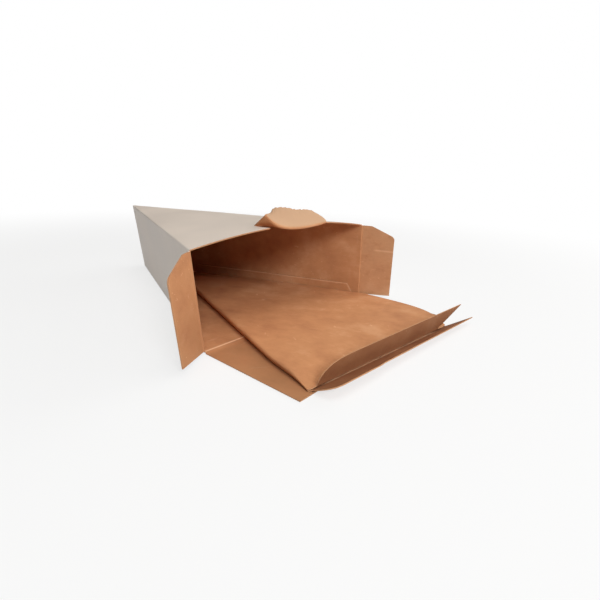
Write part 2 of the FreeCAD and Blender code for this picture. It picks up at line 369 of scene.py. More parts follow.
def mesh_piece(name, points, faces, slots, materials):
    """A piece with smooth faces that break at sharp angles, each with its material's slot."""
    mesh = bpy.data.meshes.new(name)
    mesh.from_pydata(points, [], faces)
    mesh.polygons.foreach_set("material_index", slots)
    mesh.polygons.foreach_set("use_smooth", np.ones(len(faces), dtype=bool))
    mesh.set_sharp_from_angle(angle=SHARP_ANGLE)
    for material in materials:
        mesh.materials.append(material)
    piece = bpy.data.objects.new(name, mesh)
    bpy.context.scene.collection.objects.link(piece)
    return piece


def card_piece(name, patches, card, materials, dents=0.0):
    """A sheet of card with an outer side, an inner side and a cut edge.

    The welded patches, softly dented along their normals, are its outer side. The inner
    side lies one card's thickness behind them along the normals, and the cut edge joins
    the two wherever the sheet ends.
    """
    dent_size = 80 * MM
    points, marks, faces = weld(patches)
    depth = ripple(points, dent_size, SEED) * marks[:, MARKS.index("dent")] * dents
    points = points + outward(points, faces) * depth[:, None]
    behind = points - outward(points, faces) * card
    count = len(points)
    ends = np.concatenate([faces[:, [0, 1]], faces[:, [1, 2]], faces[:, [2, 0]]])
    forth = ends[:, 0] * count + ends[:, 1]
    back = ends[:, 1] * count + ends[:, 0]
    free = ends[~np.isin(back, forth)]
    a, b = free.T
    rim = np.concatenate([
        np.stack([b, a, a + count], -1), np.stack([b, a + count, b + count], -1)])
    triangles = np.concatenate([faces, faces[:, ::-1] + count, rim])
    slots = np.repeat([0, 1, 2], [len(faces), len(faces), len(rim)])
    piece = mesh_piece(name, np.concatenate([points, behind]), triangles, slots, materials)
    for name in ("crease", "torn", "soiled"):
        layer = piece.data.attributes.new(name, "FLOAT", "POINT")
        layer.data.foreach_set("value", np.tile(marks[:, MARKS.index(name)], 2))
    piece.data.validate()
    return piece


# The carton

class CartonPlan:
    """The carton's sizes with the places that follow from them."""

    def __init__(self, sizes, tear):
        self.sizes = sizes
        self.mouth_y = -sizes.depth / 3
        self.apex_y = self.mouth_y + sizes.depth
        self.slope = (sizes.mouth_width - sizes.apex_width) / 2 / sizes.depth
        self.wall_angle = math.atan(self.slope)
        self.slit_y = self.mouth_y + tear.slit_length
        self.cap_y = self.apex_y - sizes.apex_width / 2
        self.flat_mouth = self.half_width(self.mouth_y) - sizes.fold_radius

    def half_width(self, y):
        """Half of the outer width: it falls evenly from the mouth to the back edge."""
        return self.sizes.apex_width / 2 + (self.apex_y - y) * self.slope

    def corner_radius(self, half):
        """The folds' outer radius, and less where the carton's half width is very small."""
        largest_share = 0.45
        return np.minimum(self.sizes.fold_radius, largest_share * half)

    def top_height(self, x, y):
        """The top panel's outer height: a parabola across that flattens towards the back edge."""
        flat_half = np.maximum(self.half_width(y) - self.sizes.fold_radius, 0.5 * MM)
        rise = self.sizes.top_bow * (self.apex_y - y) / self.sizes.depth
        return self.sizes.height + rise * np.clip(1 - (x / flat_half) ** 2, 0, 1)

    def tear_share(self, tear):
        """Share of the top's right part, from the slit to the corner, that the tear takes."""
        return (tear.right_x - tear.slit_x) / (self.flat_mouth - tear.slit_x)


def ring_columns(tear_share):
    """The columns round the carton, from the slit leftwards all round and back to it.

    Each has its side (-1 left, 1 right), its share of the way from the slit to the side,
    the direction of its fold arc, its share of the wall's height, and 1 on the top panel.
    """
    flat, wall, bend = 30, 20, 6
    quarter = np.linspace(0, 1, bend + 1)[1:-1] * math.pi / 2

    def run(side, reach, cos, sin, up, top):
        return np.stack(np.broadcast_arrays(side, reach, cos, sin, up, top), -1).astype(float)

    floor = np.linspace(-1, 1, 2 * flat + 1)
    right_outer = np.linspace(1, tear_share, 14)
    right_torn = np.linspace(tear_share, 0, 33)[1:]
    return np.concatenate([
        run(-1, np.linspace(0, 1, flat), 0, 1, 1, 1),
        run(-1, 1, -np.sin(quarter), np.cos(quarter), 1, 0),
        run(-1, 1, -1, 0, np.linspace(1, 0, wall), 0),
        run(-1, 1, -np.cos(quarter), -np.sin(quarter), 0, 0),
        run(floor, 1, 0, -1, 0, 0),
        run(1, 1, np.sin(quarter), -np.cos(quarter), 0, 0),
        run(1, 1, 1, 0, np.linspace(0, 1, wall), 0),
        run(1, 1, np.cos(quarter), np.sin(quarter), 1, 0),
        run(1, right_outer, 0, 1, 1, 1),
        run(1, right_torn, 0, 1, 1, 1),
    ])


def tube_patch(plan, tear):
    """Floor, walls and top as a tapering tube.

    A ring is a rectangle with rounded corners. Its columns run from the front edge, which
    follows the tear on the top panel, to the slit's inner end, then straight to the back
    edge, where the half width shrinks as a quarter circle until both walls meet. Dents
    fade out towards every fold, the mouth and the back edge.
    """
    sizes = plan.sizes
    side, reach, cos, sin, up, top = ring_columns(plan.tear_share(tear)).T

    def place(half, radius, slit_share):
        across = np.where(top > 0, slit_share * (1 - reach) + side * reach, side)
        return across * (half - radius) + radius * cos

    radius = sizes.fold_radius
    slit_back = tear.slit_x / (plan.half_width(plan.slit_y) - radius)
    slit_front = tear.slit_x / plan.flat_mouth
    front_x = place(plan.half_width(plan.mouth_y), radius, slit_front)
    back_x = place(plan.half_width(plan.slit_y), radius, slit_back)
    torn_share = np.clip(reach / plan.tear_share(tear), 0, 1)
    in_tear = (top > 0) & (side > 0) & (torn_share < 1)
    front_y = np.where(in_tear, between(plan.slit_y, plan.mouth_y, torn_share), plan.mouth_y)
    front_x = np.where(in_tear, between(tear.slit_x, tear.right_x, torn_share), front_x)
    t = np.linspace(0, 1, 13)[:, None]
    rows_x = [between(front_x, back_x, t)]
    rows_y = [between(front_y, plan.slit_y, t)]
    y = np.linspace(plan.slit_y, plan.cap_y, 44)[1:, None]
    half = plan.half_width(y)
    rows_x.append(place(half, plan.corner_radius(half), slit_back))
    rows_y.append(y + 0 * side)
    turn = np.linspace(0, math.pi / 2, 7)[1:, None]
    half = plan.half_width(plan.cap_y) * np.cos(turn)
    half[-1] = 0
    rows_x.append(place(half, plan.corner_radius(half), slit_back))
    rows_y.append(plan.cap_y + sizes.apex_width / 2 * np.sin(turn) + 0 * side)
    x, y = np.concatenate(rows_x), np.concatenate(rows_y)
    radii = plan.corner_radius(plan.half_width(y))
    radii[-len(half):] = plan.corner_radius(half)
    walls = radii + up * (sizes.height - 2 * radii) + radii * sin
    z = np.where(top > 0, plan.top_height(x, y), walls)
    arc = (top == 0) & (cos != 0) & (sin != 0)
    wall_fade, top_fade = 1 / 8, 1 / 6
    mouth_fade, back_fade, back_still = 18 * MM, 30 * MM, 4 * MM
    on_wall = np.clip(np.minimum(up, 1 - up) / wall_fade, 0, 1) * (cos != 0)
    on_top = top * np.clip((1 - reach) / top_fade, 0, 1)
    along = smooth(y, plan.mouth_y, plan.mouth_y + mouth_fade)
    along = along * (1 - smooth(y, plan.apex_y - back_fade, plan.apex_y - back_still))
    dent = np.maximum(on_wall, on_top) * along
    crease = arc.astype(float) + 0 * y
    return Patch(np.stack([x, y, z], -1), crease=crease, dent=dent, flip=True)


def bottom_flap_patch(plan):
    """The front flap: the floor's mouth edge carried straight out over the table.

    Just in front of its fold it steps out to its full width. From there it is darkened:
    painted shade with some grime.
    """
    sizes = plan.sizes
    close_rows, step_length, crease_width = 2.4 * MM, 1.6 * MM, 0.4 * MM
    darkening, darkening_start, darkening_full = 0.85, 0.5 * MM, 6 * MM
    out = graded(close_rows, sizes.bottom_flap_depth, 9, 30)
    share_across = np.linspace(-1, 1, 61)
    step = sizes.flap_side_step * smooth(out, 0, step_length)
    x = share_across * (plan.flat_mouth + step)[:, None]
    y = (plan.mouth_y - out)[:, None] + 0 * x
    crease = bell(out, crease_width)[:, None]
    # Painted shade with some grime, from just past the fold over the whole flap
    soiled = darkening * smooth(out, darkening_start, darkening_full)[:, None]
    return Patch(np.stack([x, y, 0 * x], -1), crease=crease, soiled=soiled)


def torn_flap_patch(plan, tear):
    """The torn corner and flap rest.

    From the diagonal fold it runs forward to a rolled edge along the mouth, which is
    lifted at the slit and sags in the middle, and then back and up to the torn edge.
    """
    crease_share, torn_start, torn_full = 0.03, 0.5, 0.62
    t = np.linspace(0, 1, 33)[::-1]
    across = between(tear.slit_x, tear.right_x, t)
    root_y = between(plan.slit_y, plan.mouth_y, t)
    root = np.stack([across, root_y, plan.top_height(across, root_y)], -1)
    arch = plan.top_height(across, plan.mouth_y + 0 * across)
    corner = np.exp(-t / tear.lift_share)
    height = arch + tear.lift * corner - tear.sag * np.sin(math.pi * t)
    roll = np.stack([
        across - tear.corner_lean * corner, plan.mouth_y + tear.roll_back * corner, height], -1)
    first = root[-1]
    fold = root[0] - first
    level = np.array([-fold[1], fold[0], 0]) / math.hypot(fold[0], fold[1])
    back = level * math.cos(tear.tilt) + np.array([0, 0, math.sin(tear.tilt)])
    place = np.interp(t, TEAR_SHARES, TEAR_PLACES)
    reach = np.interp(t, TEAR_SHARES, TEAR_REACHES)
    ragged = 0.02 * np.sin(t * 61) + 0.015 * np.sin(t * 97 + 1)
    torn_edge = first + place[:, None] * fold + ((reach + ragged) * tear.depth)[:, None] * back
    up = np.array([0, 0, tear.roll_radius])
    size = np.clip(np.minimum(t, 1 - t) * 8, 0.25, 1)[:, None]
    curl = np.array([0, 0, tear.bulge]) * np.sin(math.pi * t)[:, None]
    controls = np.stack([
        root,
        between(root, roll, 0.6),
        roll - up * size,
        roll + up * size,
        between(roll, torn_edge, 0.55) + curl,
        torn_edge,
    ])
    points = smooth_path(controls, 9)
    along = np.linspace(0, 1, len(points))[:, None]
    torn = smooth(along, torn_start, torn_full) + 0 * t
    crease = bell(along, crease_share) + 0 * t
    return Patch(points, torn=torn, crease=crease)


def glue_strip_patch(plan):
    """The strip along the right wall's foot: straight up the wall with slanted ends.

    It starts a little inside the floor's card, and its top edge leans off the wall by a
    slowly changing amount.
    """
    sizes = plan.sizes
    along_wall = np.array([-math.sin(plan.wall_angle), math.cos(plan.wall_angle), 0])
    inward = np.array([-math.cos(plan.wall_angle), -math.sin(plan.wall_angle), 0])
    wall_inset = sizes.card / math.cos(plan.wall_angle)
    foot = np.array([sizes.mouth_width / 2 - wall_inset, plan.mouth_y, 0])
    up = np.linspace(0, 1, 9)[None, :]
    t = np.linspace(0, 1, 80)[:, None]
    start = sizes.strip_gap + sizes.strip_bevel * up
    end = sizes.strip_length - sizes.strip_bevel * up
    distance = between(start, end, t)
    wave, stand_off, sunk = 17 * MM, 0.02 * MM, sizes.card * 0.1
    lean = sizes.strip_lean * up ** 2 * (0.6 + 0.4 * np.sin(distance / wave))
    height = sizes.card - sunk + up * (sizes.strip_height + sunk) + 0 * t
    points = (foot + distance[..., None] * along_wall
              + (lean + stand_off)[..., None] * inward
              + height[..., None] * np.array([0, 0, 1]))
    # Painted highlight: a pale line along the strip's top edge and at its front end, where the cut
    # edges catch the light
    end_highlight_share, top_highlight_share = 0.006, 0.06
    painted_end_highlight = 0.6 * bell(t, end_highlight_share) * smooth(up, 0.1, 0.4)
    crease = np.maximum(0.8 * bell(1 - up, top_highlight_share), painted_end_highlight)
    return Patch(points, crease=crease, flip=True)


# The dust flaps

def flap_outline(sizes, away, foot_rise):
    """The flap's lowest and highest point at a distance from its fold.

    The foot rises evenly. The top is level up to the shoulder, then falls evenly, and
    ends in a corner that is a quarter of a flat ellipse.
    """
    flatness = 0.8
    t = away / sizes.depth
    low = sizes.foot + foot_rise * t
    slope = sizes.drop / (sizes.depth - sizes.shoulder)
    high = sizes.head - np.maximum(away - sizes.shoulder, 0) * slope
    into = np.clip((away - sizes.depth + sizes.corner) / sizes.corner, 0, 1)
    return low, high - sizes.corner * (1 - np.sqrt(1 - into ** 2)) * flatness


def dust_flap_patch(plan, sizes, side, opening):
    """A flap as a grid of distance from the fold and height, swung open about the fold's axis.

    It curls a little towards its kraft side. The left flap is darker towards its foot,
    which is painted shade. The right one is paler all over, which is painted light, and
    worn paler still by rubbing along a level line.
    """
    crease_width, line_start, line_full = 0.5 * MM, 7 * MM, 10 * MM
    straight_end = sizes.depth - sizes.corner
    round_part = straight_end + sizes.corner * np.sin(np.linspace(0, math.pi / 2, 10))
    away = np.concatenate([np.linspace(sizes.root_gap, straight_end, 26), round_part[1:]])
    low, high = flap_outline(sizes, away, sizes.foot_rise if side < 0 else sizes.right_rise)
    up = np.linspace(0, 1, 91)[:, None]
    height = between(low, high, up)
    closed = 0 if side < 0 else math.pi
    turn = closed + side * opening
    direction = np.array([math.cos(turn), math.sin(turn), 0])
    coated = np.array([-math.sin(turn), math.cos(turn), 0]) * side
    offset = plan.sizes.card / 2 - sizes.curl * (away / sizes.depth) ** 2 * (0.5 + 0.5 * up)
    hinge = np.array([
        side * (plan.sizes.mouth_width / 2 + sizes.hinge_side_gap),
        plan.mouth_y - sizes.hinge_front_gap, 0])
    points = (hinge + (away + 0 * up)[..., None] * direction + offset[..., None] * coated
              + height[..., None] * np.array([0, 0, 1]))
    crease = bell(away, crease_width) * (0.1 if side < 0 else 0.15) + 0 * up
    if side < 0:
        # Painted shade: the left flap darker towards its foot
        return Patch(points, crease=crease, soiled=0.5 * (1 - up) ** 1.5 + 0 * away)
    line = bell(height - sizes.rub_height, sizes.rub_width)
    # Painted light: the whole right flap paled a little; the level line on top is a line worn by
    # rubbing
    rub_and_light = 0.2 + 0.45 * line * smooth(away, line_start, line_full)
    return Patch(points, crease=np.maximum(crease, rub_and_light), flip=True)


def flap_crease(plan, sizes, side):
    """The crease between wall and flap: a strip with round edges, drawn straight up.

    It starts a little inside the wall's card. The third result is 1 on the triangles that
    face into the carton.
    """
    turn = np.linspace(0, 2 * math.pi, 25)[:-1]
    bite = 0.1 * MM
    start = np.array([(plan.sizes.mouth_width - plan.sizes.card) / 2, plan.mouth_y + bite])
    end = np.array([
        plan.sizes.mouth_width / 2 + sizes.hinge_side_gap, plan.mouth_y - sizes.hinge_front_gap])
    run = (end - start) / np.linalg.norm(end - start)
    sideways = np.array([-run[1], run[0]])
    round_x, round_y = np.cos(turn)[:, None], np.sin(turn)[:, None]
    centre = np.where(round_x > 0, end, start)
    plan_points = centre + sizes.crease_radius * (round_x * run + round_y * sideways)
    shrink = np.array([0, 1, 1, 0])[:, None, None]
    levels = np.array([sizes.foot, sizes.foot, sizes.head, sizes.head])
    middle = (start + end) / 2
    flat = middle + (plan_points - middle) * shrink
    points = lifted(flat, levels[:, None])
    points[..., 0] *= side
    points = np.concatenate([points, points[:, :1]], 1)
    points, _, faces = weld([Patch(points, flip=side < 0)])
    inward = np.array([-sideways[0] * side, -sideways[1], 0])
    a, b, c = (points[faces[:, k]] for k in range(3))
    return points, faces, (np.cross(b - a, c - a) @ inward > 0).astype(int)


# The liner

class LinerPlan:
    """The liner's sizes with the places that follow from them and the carton."""

    def __init__(self, sizes, plan):
        self.sizes = sizes
        self.plan = plan
        self.card = plan.sizes.card
        self.low = self.card + sizes.floor_gap
        self.tip = np.array([
            sizes.left_inset - plan.sizes.mouth_width / 2, plan.mouth_y - sizes.overhang])
        self.along = np.array([math.cos(sizes.skew), -math.sin(sizes.skew)])
        self.out = np.array([-math.sin(sizes.skew), -math.cos(sizes.skew)])
        self.nose_y = plan.mouth_y + sizes.nose_depth
        self.rows = self.row_ends()

    def right_edge(self, y):
        """The right edge along the wall inside the carton."""
        gap = (self.card + self.sizes.wall_gap) / math.cos(self.plan.wall_angle)
        return self.plan.half_width(y) - gap

    def fold_height(self, y):
        """The fold's height grows evenly to the inner end, and the front crease pinches it."""
        sizes = self.sizes
        t = (y - self.tip[1]) / (self.nose_y - self.tip[1])
        free = between(sizes.fold_front, sizes.fold_back, t)
        return free + (sizes.pinch_height - free) * self.pinch(y)

    def pinch(self, y):
        """How much the front crease pinches the fold: a bell curve that is 1 at the tip."""
        return bell(y - self.tip[1], self.sizes.pinch_length)

    def row_ends(self):
        """For each row across the leaves, its ends, its direction and the fold's height.

        The left end lies on the fold's outside, on a straight line that swells a little
        to the left behind the tip. The right end lies on the round corner, and from there
        on along the wall. The corner is an arc, and a sine wave added to it makes it
        fuller in front and flatter behind. "lower" and "upper" are where the two leaves
        run into the fold.
        """
        sizes = self.sizes
        swell_length, skew_start = 30 * MM, 0.15
        corner_y = self.plan.mouth_y - sizes.corner_start
        end = self.tip + self.along * sizes.crease_length
        start = np.array([self.right_edge(corner_y), corner_y])
        chord = end - start
        sideways = np.array([-chord[1], chord[0]]) / np.linalg.norm(chord)
        middle = (start + end) / 2 + sideways * sizes.corner_bulge
        t = graded(0.1, 1, 9, 30)
        skew = sizes.corner_skew * np.sin(2 * math.pi * t) * smooth(t, 0, skew_start)
        right = arc_through(end, middle, start, t) + skew[:, None] * sideways
        left_y = between(self.tip[1], corner_y, t)
        inside_y = np.linspace(corner_y, self.nose_y, 46)[1:]
        right = np.concatenate([right, np.stack([self.right_edge(inside_y), inside_y], -1)])
        left_y = np.concatenate([left_y, inside_y])
        behind = left_y - self.tip[1]
        left_x = self.tip[0] + behind * math.tan(sizes.fold_angle)
        left_x = left_x - sizes.fold_swell * smooth(behind, 0, swell_length)
        left = np.stack([left_x, left_y], -1)
        height = self.fold_height(left_y)
        slope = (right[:, 1] - left[:, 1]) / (right[:, 0] - left[:, 0])
        run = np.stack([np.ones_like(slope), slope], -1)
        lower = left + run * (height * sizes.fold_inset)[:, None]
        upper = left + run * (height * sizes.fold_shoulder)[:, None]
        return {
            "left": left, "right": right, "height": height, "run": run,
            "lower": lower, "upper": upper}

    def across(self):
        """Shares across a leaf, closer together near the fold."""
        return np.linspace(0, 1, 64) ** 1.15

    def upper_height(self, u):
        """The upper leaf's top: from the fold's top it eases down to rest on the lower leaf."""
        ease, power = 0.22, 2.2
        high = self.low + self.rows["height"][:, None]
        seam = self.low + 2 * self.card + self.sizes.leaf_gap
        return high + (seam - high) * ((1 + ease) * u - ease * u ** power)


def leaf_plan(liner, leaf, u):
    """The plan of a leaf's grid: straight rows from the fold to the right end."""
    start, right = liner.rows[leaf], liner.rows["right"]
    return start[:, None] + (right - start)[:, None] * u[None, :, None]


def crease_mark(liner):
    """1 on the front crease, and 0 a little behind it."""
    width = 0.8 * MM
    behind = liner.rows["left"][:, 1] - liner.rows["left"][0, 1]
    return bell(behind, width)[:, None]


def away_from_ends(u):
    """1 along most of the front crease, and 0 at its two ends."""
    return smooth(u, 0.03, 0.12) * (1 - smooth(u, 0.8, 0.88))


def leaf_patches(liner):
    """The lower leaf lies flat, the upper leaf slopes with soft waves, and the fold joins them.

    The waves fade out towards every edge.
    """
    wave_length, first_row, full_row = 60 * MM, 3 * MM, 20 * MM
    u = liner.across()
    flat = leaf_plan(liner, "lower", u)
    mark = crease_mark(liner) * away_from_ends(u)
    lower = lifted(flat, liner.low)
    flat = leaf_plan(liner, "upper", u)
    behind = liner.rows["left"][:, 1:] - liner.tip[1]
    inner = np.clip(np.minimum(u, 1 - u) * 6, 0, 1) * smooth(behind, first_row, full_row)
    waves = liner.sizes.wave * inner * (ripple(lifted(flat, 0), wave_length, SEED + 3) + 0.6)
    upper = lifted(flat, liner.upper_height(u) + waves)
    return [
        Patch(lower, crease=mark, flip=True),
        Patch(upper, crease=mark),
        fold_patch(liner),
    ]


def fold_patch(liner):
    """The rounded fold, from the lower leaf out to its waist and over to the upper leaf.

    Both stretches are quarters of superellipses. The lower one is nearly straight, with
    an exponent of 8/7, and the upper one is full, with an exponent of 8/3.
    """
    waist = liner.sizes.fold_waist
    lower, upper = 8 / 7, 8 / 3
    turn = np.linspace(0, math.pi / 2, 9)
    in_lower = liner.sizes.fold_inset * (1 - np.sin(turn) ** (2 / lower))
    up_lower = waist * (1 - np.cos(turn) ** (2 / lower))
    in_upper = liner.sizes.fold_shoulder * (1 - np.cos(turn) ** (2 / upper))
    up_upper = waist + (1 - waist) * np.sin(turn) ** (2 / upper)
    inward = np.concatenate([in_lower, in_upper[1:]])
    rise = np.concatenate([up_lower, up_upper[1:]])
    height = liner.rows["height"][:, None]
    flat = liner.rows["left"][:, None] + liner.rows["run"][:, None] * (height * inward)[..., None]
    return Patch(lifted(flat, liner.low + height * rise))


def lip_patch(liner, leaf, root_height, crease_at):
    """A lip beyond the front crease of a leaf, pale along a line in front of that crease.

    The card bends up within a short length until it has turned by the angle, and runs on
    straight. Both ends step in a little at the crease. From there the left end is rounded
    as a superellipse, and the right end flares. The depth changes evenly along the lip,
    apart from a small step.
    """
    sizes = liner.sizes
    angle, left_depth, right_depth, rounding, flare, left_trim, right_trim, step = (
        getattr(sizes, leaf + "_" + word) for word in (
            "angle", "left_depth", "right_depth", "round", "flare", "left_trim", "right_trim",
            "step"))
    power, trim_end, longest, crease_width = 2.2, 0.12, 14 * MM, 0.7 * MM
    u = liner.across()
    q = graded(0.25, 1, 9, 14)[:, None]
    root = np.linalg.norm(liner.rows[leaf][0] - liner.tip)
    trimmed = smooth(q, 0, trim_end)
    round_end = 1 - (1 - q ** power) ** (1 / power)
    left = root + left_trim * trimmed + (rounding - root - left_trim) * round_end
    right = sizes.crease_length + flare * q - right_trim * trimmed * (1 - q)
    s = left + (right - left) * u
    stepped = step * (1 - smooth(s, sizes.step_start, sizes.step_end))
    path = q * (between(left_depth, right_depth, s / sizes.crease_length) + stepped)
    table = np.linspace(0, longest, 400)
    turned = angle * smooth(table, 0, sizes.bend)
    outs = np.concatenate([[0], np.cumsum(np.cos(turned))[:-1]]) * (table[1] - table[0])
    ups = np.concatenate([[0], np.cumsum(np.sin(turned))[:-1]]) * (table[1] - table[0])
    out, up = np.interp(path, table, outs), np.interp(path, table, ups)
    flat = liner.tip + s[..., None] * liner.along + out[..., None] * liner.out
    share_root = np.clip((s - root) / (sizes.crease_length - root), 0, 1)
    z = np.interp(share_root, u, root_height) + up
    crease = bell(path - crease_at, crease_width) * away_from_ends(u)
    return Patch(lifted(flat, z), crease=crease, flip=leaf == "upper")


def liner_patches(liner):
    """Both leaves with their fold, and the lip of each leaf."""
    lower_crease, upper_crease = 1 * MM, 0
    upper_root = liner.upper_height(liner.across())[0]
    lower_root = np.full_like(upper_root, liner.low)
    return leaf_patches(liner) + [
        lip_patch(liner, "lower", lower_root, lower_crease),
        lip_patch(liner, "upper", upper_root, upper_crease)]


# Materials

RELIEF = 0.1 * MM
WHITE = (1.0, 1.0, 1.0, 1.0)


class Value:
    """A number that changes over a surface, as one socket of a material's nodes."""

    def __init__(self, nodes, socket):
        self.nodes, self.socket = nodes, socket

    def maths(self, operation, *values):
        """The result of one Math node on the values."""
        return self.nodes.add("ShaderNodeMath", {"operation": operation}, values)

    def __add__(self, other):
        return self.maths("ADD", self, other)

    def __sub__(self, other):
        return self.maths("SUBTRACT", self, other)

    def __rsub__(self, other):
        return self.maths("SUBTRACT", other, self)

    def __mul__(self, other):
        return self.maths("MULTIPLY", self, other)

    __radd__ = __add__
    __rmul__ = __mul__

    def rise(self, low, high):
        """0 below low, 1 above high, smooth between them."""
        settings = {"interpolation_type": "SMOOTHSTEP", "clamp": True}
        return self.nodes.add("ShaderNodeMapRange", settings, (self, low, high, 0.0, 1.0))


class Nodes:
    """Builds the nodes of one material or world."""

    def __init__(self, owner, output="ShaderNodeOutputMaterial"):
        self.owner = owner
        owner.use_nodes = True
        self.tree = owner.node_tree
        self.tree.nodes.clear()
        self.output = self.tree.nodes.new(output)

    def add(self, kind, settings=None, inputs=(), output=0):
        """A node of a kind, with its settings and then the values or links of its sockets."""
        node = self.tree.nodes.new(kind)
        for key, value in (settings or {}).items():
            setattr(node, key, value)
        pairs = inputs.items() if isinstance(inputs, dict) else enumerate(inputs)
        for key, value in pairs:
            if isinstance(value, Value):
                self.tree.links.new(value.socket, node.inputs[key])
            else:
                node.inputs[key].default_value = value
        return Value(self, node.outputs[output])

    def place(self, stretch=(1, 1, 1), turn=(0, 0, 0)):
        """The point on the piece, in metres, turned by degrees, then scaled along the axes."""
        point = self.add("ShaderNodeTexCoord", output="Object")
        if any(turn):
            rotation = tuple(math.radians(angle) for angle in turn)
            point = self.add("ShaderNodeMapping", {}, {"Vector": point, "Rotation": rotation})
        return self.add("ShaderNodeMapping", {}, {"Vector": point, "Scale": stretch})

    def noise(self, place, scale, detail, roughness):
        """Cloudy noise between 0 and 1."""
        inputs = {"Vector": place, "Scale": scale, "Detail": detail, "Roughness": roughness}
        return self.add("ShaderNodeTexNoise", {}, inputs)

    def mark(self, name):
        """A mark kept on the mesh's points."""
        return self.add("ShaderNodeAttribute", {"attribute_name": name}, output="Fac")

    def mix(self, factor, first, second):
        """From the first colour to the second."""
        first, second = (c if isinstance(c, Value) else (*c, 1.0) for c in (first, second))
        inputs = {0: factor, 6: first, 7: second}
        return self.add("ShaderNodeMix", {"data_type": "RGBA"}, inputs, 2)

    def tint(self, base, shade):
        """A colour multiplied by a fixed shade."""
        kind = {"data_type": "RGBA", "blend_type": "MULTIPLY"}
        return self.add("ShaderNodeMix", kind, {0: 1.0, 6: base, 7: (*shade, 1.0)}, 2)

    def bump(self, height, strength, distance):
        """A normal that follows a height."""
        inputs = {"Strength": strength, "Distance": distance, "Height": height}
        return self.add("ShaderNodeBump", {}, inputs)

    def end(self, shader):
        """Ends the nodes in a shader, and gives their material or world."""
        self.tree.links.new(shader.socket, self.output.inputs["Surface"])
        return self.owner

    def card(self, base, roughness, normal, specular):
        """Ends a card's material in one Principled shader."""
        return self.end(self.add("ShaderNodeBsdfPrincipled", {}, {
            "Base Color": base, "Roughness": roughness, "Normal": normal,
            "Specular IOR Level": specular}))


# Noise on the kraft side: its stretch, its turn in degrees, its scale, detail and roughness
LEVEL, GRAIN, FALLING, RISING = (0, 0, 0), (0, 0, -19.4), (0, 0, -52), (17.19, 0, 25)
KRAFT_NOISE = {
    "clouds": ((1, 1, 1), LEVEL, 38.0, 2.0, 0.5),
    "streaks": ((1, 0.6, 1), GRAIN, 200.0, 5.0, 0.62),
    "patches": ((1, 0.85, 1), GRAIN, 80.0, 3.0, 0.6),
    "fibres": ((1, 0.12, 1), GRAIN, 2600.0, 2.0, 0.6),
    "flecks": ((1, 0.4, 1), LEVEL, 1500.0, 1.0, 0.5),
    "rubbed spots": ((0.55, 1, 0.8), LEVEL, 120.0, 5.0, 0.65),
    "falling scratches": ((1, 0.06, 1), FALLING, 640.0, 2.0, 0.5),
    "rising scratches": ((1, 0.08, 1), RISING, 560.0, 2.0, 0.5),
}


def kraft_card(finish, name="kraft_card", shade=(1, 1, 1)):
    """The plain side: brown pulp in clouds, patches, soft streaks and fine fibres.

    It has dark flecks, rub marks and short pale scratches. Painted shade with some grime
    darkens it where marked, and it is paler where it is creased or torn and where light is
    painted.
    """
    nodes = Nodes(bpy.data.materials.new(name))
    clouds, streaks, patches, fibres, flecks, rub_and_light, falling, rising = (
        nodes.noise(nodes.place(stretch, turn), scale, detail, roughness)
        for stretch, turn, scale, detail, roughness in KRAFT_NOISE.values())
    flecks = flecks.rise(0.66, 0.78)
    rub_and_light = rub_and_light.rise(0.60, 0.74)
    falling = falling.rise(0.69, 0.74)
    scratches = falling.maths("MAXIMUM", falling, rising.rise(0.70, 0.75))
    scratches = scratches * clouds.rise(0.42, 0.6)
    tone = clouds * 0.32 + streaks * 0.14 + patches * 0.42 + fibres * 0.12
    base = nodes.mix(tone.rise(0.29, 0.55), finish.kraft_dark, finish.kraft)
    base = nodes.mix(tone.rise(0.50, 0.64) * 0.55, base, finish.kraft_light)
    base = nodes.mix(flecks * 0.3, base, finish.kraft_dark)
    base = nodes.mix(rub_and_light * 0.35, base, finish.kraft_light)
    base = nodes.mix(scratches * 0.35, base, finish.kraft_pale)
    base = nodes.tint(base, shade)
    # Painted shade with some grime, mottled by the patches
    soiled = nodes.mark("soiled") * (0.75 + (patches - 0.5) * 1.4)
    base = nodes.mix(soiled, base, finish.soiled)
    crease = nodes.mark("crease") * streaks.rise(0.22, 0.5)
    base = nodes.mix(crease * 0.9, base, finish.kraft_pale)
    base = nodes.mix(nodes.mark("torn") * 0.9, base, finish.torn)
    rough = 0.82 + (fibres - 0.5) * 0.12 - rub_and_light * 0.06
    normal = nodes.bump(fibres * 0.5 + streaks * 0.5, 0.25, RELIEF)
    return nodes.card(base, rough, normal, 0.25)


def coated_card(finish):
    """The coated side: smooth pale grey with faint clouds and fine board grain.

    Worn fold lines are slightly paler.
    """
    nodes = Nodes(bpy.data.materials.new("coated_card"))
    clouds = nodes.noise(nodes.place(), 22.0, 3.0, 0.5)
    grain = nodes.noise(nodes.place((1, 0.3, 1)), 900.0, 2.0, 0.5)
    scuffs = nodes.noise(nodes.place((1, 0.12, 0.6)), 260.0, 4.0, 0.7).rise(0.62, 0.78)
    dull = tuple(c * 0.92 for c in finish.coating)
    base = nodes.mix(clouds.rise(0.3, 0.7), dull, finish.coating)
    base = nodes.mix(scuffs * 0.16, base, finish.coating_worn)
    crease = nodes.mark("crease") * clouds.rise(0.25, 0.6)
    base = nodes.mix(crease * 0.3, base, finish.coating_worn)
    rough = 0.46 + (clouds - 0.5) * 0.16 + scuffs * 0.12
    normal = nodes.bump(grain * 0.5 + clouds * 0.5, 0.08, RELIEF)
    return nodes.card(base, rough, normal, 0.4)


def cut_edge(finish):
    """The cut edge: raw pulp in fine layers."""
    nodes = Nodes(bpy.data.materials.new("cut_edge"))
    fibres = nodes.noise(nodes.place((1, 1, 2)), 3000.0, 3.0, 0.6)
    base = nodes.mix(fibres.rise(0.35, 0.65), finish.kraft, finish.edge)
    base = nodes.mix(nodes.mark("torn") * 0.7, base, finish.torn)
    return nodes.card(base, 0.9, nodes.bump(fibres, 0.3, RELIEF), 0.2)


